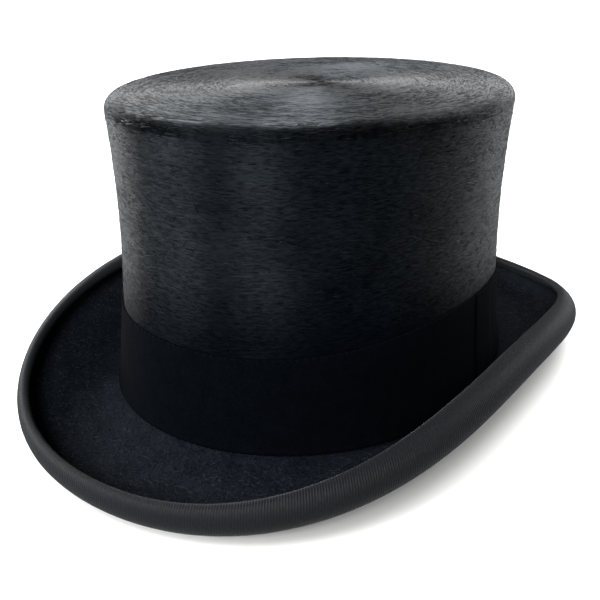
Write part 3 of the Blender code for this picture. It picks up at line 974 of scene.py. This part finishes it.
def make_bow(finish):
    """Small ribbon bow at the back of the sweatband: two loops and a knot."""
    height = break_height(math.pi) + 17.0 * MM
    centre = wall(math.pi, height, sweatband_inset(math.pi, height, 1) + 1.4 * MM) * np.array([0.0, 1.0, 1.0])
    points, faces, start = [], [], 0
    for part in (bow_loop(-1.0), bow_loop(1.0), bow_knot()):
        flat = part.reshape(-1, 3)
        faces.append(outward(flat, ring_faces(*part.shape[:2])) + start)
        points.append(flat)
        start += len(flat)
    points = np.concatenate(points)
    add_piece("sweatband_bow_ribbon", points + centre, np.concatenate(faces), finish, "grosgrain",
              "sweatband_bow", grain=points / MM)


YARN_WIDTH, YARN_LENGTH = 0.25 * MM, 2.0 * MM  # size of a streak in the satin


def make_lining_side(finish):
    """Pleated satin, slack above the sweatband and drawn in at the tip's seam."""
    columns, rows, pleats = 720, 60, 74
    angle = around(columns)
    foot = break_height(angle)
    height = mix((foot + 8.0 * MM, EDGE_START), steps(rows))
    above_leather = height - foot - SWEATBAND_HEIGHT
    phase = np.cumsum(np.random.default_rng(121).uniform(0.75, 1.25, columns))[:, None]
    phase = phase / phase[-1] * TAU * pleats
    slow = relief(rows, columns, (14.0, 9.0, 1.0, 122))
    gather = fade(above_leather, 60.0 * MM) ** 1.5
    pleat = (0.5 + 0.5 * np.cos(phase + 0.9 * slow)) * (0.35 + 0.65 * gather)
    seam = np.sqrt(fade(EDGE_START - height, 3.0 * MM))
    slack = fade(above_leather + 2.0 * MM, 8.0 * MM) * (0.35 + 0.65 * seam)
    fold = (pleat * 0.85 * MM + (0.25 + 0.12 * slow) * MM) * slack
    outer, inner = (wall(angle, height, inset + fold) for inset in LINING_WALL)
    points = both_faces(inner, outer)
    grain = points / np.array([YARN_WIDTH, YARN_WIDTH, YARN_LENGTH])
    fibre = np.broadcast_to([0.0, 0.0, 1.0], points.shape)
    loft("lining_side_satin", points, finish, "satin", "lining_side", grain=grain, fibre=fibre)


def make_lining_tip(finish):
    """Slack satin under the tip, puckered near the side lining."""
    columns, flat_rows, edge_rows, puckers = 360, 52, 8, 62.0
    angle = around(columns)
    flat_share = np.linspace(0.01, 1.0, flat_rows, endpoint=False)
    share = np.concatenate([flat_share, np.linspace(1.0, 1.0 + EDGE_SHARE, edge_rows)])[None, :]
    pucker = np.cos(angle * puckers + 1.3 * np.sin(5.0 * angle)) * fade(share - 0.72, 0.25) ** 2
    belly = np.abs(relief(share.size, columns, (12.0, 16.0, 0.18 * MM, 131)))
    slack = fade(1.06 - share, 0.1) * fade(share, 0.25) ** 2
    drop = (0.3 * MM * (pucker + 1.0) + belly) * slack
    upper, lower = (tip(angle, share, -inset - drop) for inset in LINING_WALL)
    sections = both_faces(lower, upper)
    points = np.concatenate([sections.reshape(-1, 3), [lower[:, 0].mean(0), upper[:, 0].mean(0)]])
    grain = points / np.array([YARN_WIDTH, YARN_LENGTH, YARN_WIDTH])
    fibre = np.broadcast_to([0.0, 1.0, 0.0], points.shape)
    add_piece("lining_tip_satin", points, disc_faces(*sections.shape[:2]), finish, "satin", "lining_tip",
              grain=grain, fibre=fibre)


# ---- studio

CAMERA_AZIMUTH = 36.72 * DEG
CAMERA_ELEVATION = 18.87 * DEG
CAMERA_ROLL = 0.63 * DEG
CAMERA_DISTANCE = 0.3759
CAMERA_AIM = Vector((0.0, 0.0, 74.6 * MM))
CAMERA_LENS = 45.44
CAMERA_SHIFT = (-0.0328, -0.1403)
WHITE = (1.0, 1.0, 1.0, 1.0)


def direction(azimuth, elevation):
    flat = math.cos(elevation)
    return Vector((math.sin(azimuth) * flat, -math.cos(azimuth) * flat, math.sin(elevation)))


def aim(item, back, roll=0.0):
    """Turns a camera or light to look against a direction."""
    item.rotation_mode = "QUATERNION"
    item.rotation_quaternion = (-back).to_track_quat("-Z", "Y") @ Quaternion((0.0, 0.0, 1.0), roll)


def new_item(name, data):
    item = bpy.data.objects.new(name, data)
    bpy.context.scene.collection.objects.link(item)
    return item


def make_camera():
    """Camera at the main viewing angle. Its lens shift holds for that place only."""
    data = bpy.data.cameras.new("camera")
    camera = new_item("camera", data)
    back = direction(CAMERA_AZIMUTH, CAMERA_ELEVATION)
    camera.location = CAMERA_AIM + back * CAMERA_DISTANCE
    aim(camera, back, CAMERA_ROLL)
    data.sensor_width = 36.0
    data.lens = CAMERA_LENS
    data.clip_start = 0.01
    for path, shift in zip(("shift_x", "shift_y"), CAMERA_SHIFT):
        driver = data.driver_add(path).driver
        driver.type = "SCRIPTED"
        place = driver.variables.new()
        place.name = "place"
        place.type = "TRANSFORMS"
        place.targets[0].id = camera
        place.targets[0].transform_type = "LOC_X"
        driver.expression = f"{shift} if abs(place - {camera.location.x:.6f}) < 0.0005 else 0.0"
    bpy.context.scene.camera = camera


FLOOR_HALF = 9.0
FLOOR_GAP = 0.15 * MM  # keeps the floor clear of the binding's lowest ribs
FLOOR_TONE = (0.93, 0.925, 0.915)
FLOOR_REFLECTED = 0.16  # how much of its light the pale floor sends back to the hat


def make_floor():
    """Pale floor. Its light on the hat is held down, as if dark cloths stood just outside the frame."""
    half = FLOOR_HALF
    corners = ((-half, -half), (half, -half), (half, half), (-half, half))
    points = np.array([[x, y, -FLOOR_GAP] for x, y in corners])
    paper = new_finish("pale_floor")
    dim = tuple(FLOOR_REFLECTED * part for part in FLOOR_TONE)
    colour = paper.blend(paper.seen_by_camera(), dim, FLOOR_TONE)
    finish = paper.finish(colour, 0.75, 0.0, paper.bump(paper.noise(paper.place(), 400.0), 0.05, 0.02 * MM))
    floor = new_object("floor", points, np.array([[0, 1, 2, 3]]), finish)
    return floor


ROOM_AMBIENT = 0.012
ROOM_WALL = 1.6  # radiance of the white wall behind the hat
WALL_SPREAD = (-0.25, 0.75)  # cosine from the wall's middle, where the wall fades out and is full
WALL_TOP = (0.45, 0.05)  # height of direction where the wall fades out and is full
BACKGROUND = 1.05  # radiance that the camera sees, a clean white


def make_room():
    """White to the eye; as a light, a bright wall behind the hat and a dark camera side."""
    world = bpy.data.worlds.new("studio")
    bpy.context.scene.world = world
    room = Nodes(world)
    heading = room.add("TexCoord", {}, "Generated")
    behind = room.vector_maths("DOT_PRODUCT", "Value", heading, -direction(CAMERA_AZIMUTH, 0.0))
    rise = room.add("SeparateXYZ", {0: heading}, "Z")
    white_wall = room.times(room.smooth_step(behind, *WALL_SPREAD), room.smooth_step(rise, *WALL_TOP))
    strength = room.ramp(white_wall, (0.0, ROOM_AMBIENT), (1.0, ROOM_WALL))
    lit = room.add("Background", {"Color": WHITE, "Strength": strength})
    seen = room.add("Background", {"Color": WHITE, "Strength": BACKGROUND})
    shown = room.add("MixShader", {"Fac": room.seen_by_camera(), 1: lit, 2: seen})
    room.feed(room.tree.nodes["World Output"].inputs["Surface"], shown)


def light_group(name, members, left_out=False):
    """Collection that a light reaches alone, or leaves out."""
    group = bpy.data.collections.new(name)
    for member in members:
        group.objects.link(member)
    if left_out:
        for entry in group.collection_objects:
            entry.light_linking.link_state = "EXCLUDE"
    return group


def soft_box(name, turn, elevation, distance, size, power, receivers):
    """Soft box that faces the hat; turn is in degrees to the right of the camera."""
    data = bpy.data.lights.new(name, "AREA")
    data.shape = "RECTANGLE"
    data.size, data.size_y = size
    data.energy = power
    lamp = new_item(name, data)
    lamp.light_linking.receiver_collection = receivers
    back = direction(CAMERA_AZIMUTH + turn * DEG, elevation * DEG)
    lamp.location = CAMERA_AIM + back * distance
    aim(lamp, back)


def floor_light(floor):
    """Broad overhead light for the floor alone: keeps it white and gives the hat its soft shadow."""
    data = bpy.data.lights.new("floor_light", "SUN")
    data.energy = 6.5
    data.angle = 60.0 * DEG
    lamp = new_item("floor_light", data)
    aim(lamp, direction(CAMERA_AZIMUTH - 64.0 * DEG, 82.0 * DEG))
    lamp.light_linking.receiver_collection = light_group("floor_only", [floor])


TIP_PIECES = ("crown_tip_fur", "crown_tip_nap")  # the flat tip has its own lights, as it mirrors low ones


def make_lights(floor):
    tip_pieces = [bpy.data.objects[name] for name in TIP_PIECES]
    not_tip = light_group("all_but_tip", tip_pieces, left_out=True)
    tip_only = light_group("tip_only", tip_pieces)
    soft_box("left_box", -66.0, 19.0, 1.3, (0.9, 0.6), 13.5, not_tip)
    soft_box("front_box", -11.0, 32.0, 1.3, (0.5, 0.5), 12.0, not_tip)
    soft_box("left_rim_box", -123.0, 16.0, 1.4, (0.9, 0.6), 14.0, not_tip)
    soft_box("right_box", 122.0, 22.0, 1.4, (0.7, 0.6), 8.5, not_tip)
    soft_box("top_strip", 180.0, 64.0, 1.3, (0.28, 1.2), 6.0, tip_only)
    soft_box("tip_left", -140.0, 46.0, 1.3, (0.8, 0.8), 7.5, tip_only)
    soft_box("tip_right", 130.0, 42.0, 1.3, (0.8, 0.8), 2.6, tip_only)
    soft_box("tip_front", -30.0, 25.0, 1.3, (1.4, 0.8), 7.0, tip_only)
    floor_light(floor)
    bpy.context.scene.view_settings.view_transform = "Standard"


# ---- assembly

def make_crown():
    dark, light = (0.0006, 0.0012, 0.0023), (0.0018, 0.0031, 0.005)
    fur = fur_finish("crown_fur", dark, light, (0.2, 0.16), 0.47, 0.05, 0.28)
    dark, light = (0.0012, 0.002, 0.0034), (0.004, 0.0055, 0.0075)
    tip_fur = fur_finish("tip_fur", dark, light, (0.16, 0.62), 0.42, 0.1, 0.25)
    make_crown_side(fur)
    make_crown_nap(fur)
    make_stray_hairs(fur)
    make_crown_tip(tip_fur)
    make_tip_nap(tip_fur)


def make_brim():
    dark, light = (0.0018, 0.0033, 0.0062), (0.014, 0.018, 0.0255)
    make_brim_felt(felt_finish("brim_fur", dark, light, 0.07, 0.8, 0.0))
    dark, light = (0.009, 0.012, 0.017), (0.048, 0.055, 0.064)
    make_brim_fuzz(felt_finish("brim_fibres", dark, light, 0.3, 0.6, 0.0))
    dark, light = (0.003, 0.0034, 0.004), (0.01, 0.011, 0.012)
    make_underbrim(felt_finish("underbrim_cloth", dark, light, 0.15, 0.7, 0.05))
    dark, light = (0.0034, 0.0048, 0.007), (0.0115, 0.0142, 0.018)
    make_binding(woven_finish("grosgrain", dark, light, 0.25, 0.6, 0.13, 0.5 * MM))


def make_band_and_thread():
    dark, light = (0.0005, 0.0011, 0.0022), (0.002, 0.0031, 0.005)
    make_band(felt_finish("band_wool", dark, light, 0.035, 0.9, 0.0, 1400.0, 0.15))
    dark, light = (0.0015, 0.002, 0.0026), (0.007, 0.008, 0.0095)
    thread = woven_finish("black_thread", dark, light, 0.12, 0.6, 0.0, 0.4)
    make_band_stitches(thread)
    make_binding_stitches(thread)


def make_inside():
    make_sweatband(leather_finish("sweatband_roan", (0.2, 0.085, 0.035), (0.4, 0.2, 0.095)))
    tape = woven_finish("tape_cloth", (0.01, 0.01, 0.011), (0.035, 0.036, 0.038), 0.3, 0.6, 0.1, 0.5)
    make_reed_tape(tape)
    dark, light = (0.13, 0.055, 0.025), (0.26, 0.125, 0.06)
    make_join_tape(woven_finish("brown_tape_cloth", dark, light, 0.3, 0.6, 0.1, 0.5))
    dark, light = (0.008, 0.009, 0.011), (0.03, 0.032, 0.036)
    make_bow(woven_finish("bow_ribbon", dark, light, 0.4, 0.45, 0.15, 0.5))
    dark, light = (0.25, 0.13, 0.06), (0.5, 0.32, 0.18)
    make_sweatband_stitches(woven_finish("tan_thread", dark, light, 0.3, 0.5, 0.1, 0.4))
    satin = satin_finish("ivory_satin", (0.58, 0.52, 0.42), (0.82, 0.77, 0.67))
    make_lining_side(satin)
    make_lining_tip(satin)
    inset = LINING_WALL[1] + GAP + PIPING_RADIUS
    cord("lining_piping_cord", inset, piping_level, PIPING_RADIUS, satin, "satin", "lining_piping", 240)
    cord("reed_rod", REED_INSET, reed_level, REED_RADIUS, tape, "reed", "sweatband_reed", 0, 10, 400)


def dress_shells():
    """The stiff shells keep the frame's solids, in a finish of their own."""
    for name in ("crown_side_shell", "crown_tip_shell", "brim_shell"):
        lacquer = shellac_finish(name + "_lacquer", (0.13, 0.065, 0.025), (0.34, 0.2, 0.09))
        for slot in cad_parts[name].material_slots:
            slot.material = lacquer


make_crown()
make_brim()
make_band_and_thread()
make_inside()
dress_shells()
make_room()
make_lights(make_floor())
make_camera()
